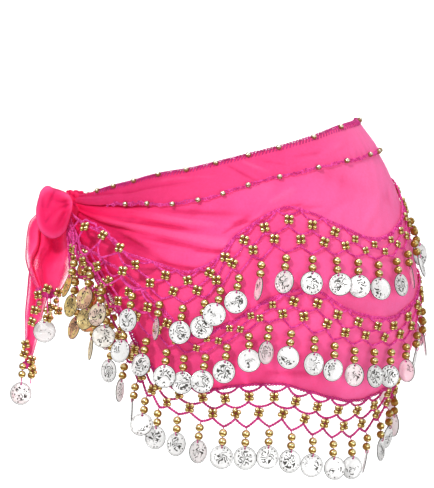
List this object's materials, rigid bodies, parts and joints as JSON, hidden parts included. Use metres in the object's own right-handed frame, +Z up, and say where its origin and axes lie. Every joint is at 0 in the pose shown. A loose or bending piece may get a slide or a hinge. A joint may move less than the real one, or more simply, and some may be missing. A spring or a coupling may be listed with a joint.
{
  "type": "belly dance hip scarf",
  "caption": "Chiffon hip scarf knotted at one side, with a turned-down top band, crochet lace edgings in tiers, bead flowers and a fringe of beads and coins.",
  "frame": {"origin": "middle of the hollow at hip height, where the wearer's hips hold the scarf up", "axes": "+Z up, front towards -Y, the knot and the hanging tails at -X, +X the wearer's far hip"},
  "size_m": [0.409, 0.2614, 0.3555],
  "materials": {
    "chiffon": "soft sheer weave with a light sheen",
    "crochet_cord": "matt twisted thread",
    "coin_silver": "bright pressed relief",
    "gold_bead": "polished plating"
  },
  "bodies": {
    "root": {"panel_front": "chiffon", "panel_back": "chiffon", "band_front": "chiffon", "band_back": "chiffon", "knot": "chiffon", "bow_loop": "chiffon", "tail_wide": "chiffon", "tail_long": "chiffon", "lace_upper": "crochet_cord", "lace_middle": "crochet_cord", "lace_hem_front": "crochet_cord", "lace_hem_back": "crochet_cord", "fringe_hem": "coin_silver", "fringe_wide_tail": "gold_bead", "fringe_long_tail": "gold_bead"}
  },
  "joints": []
}
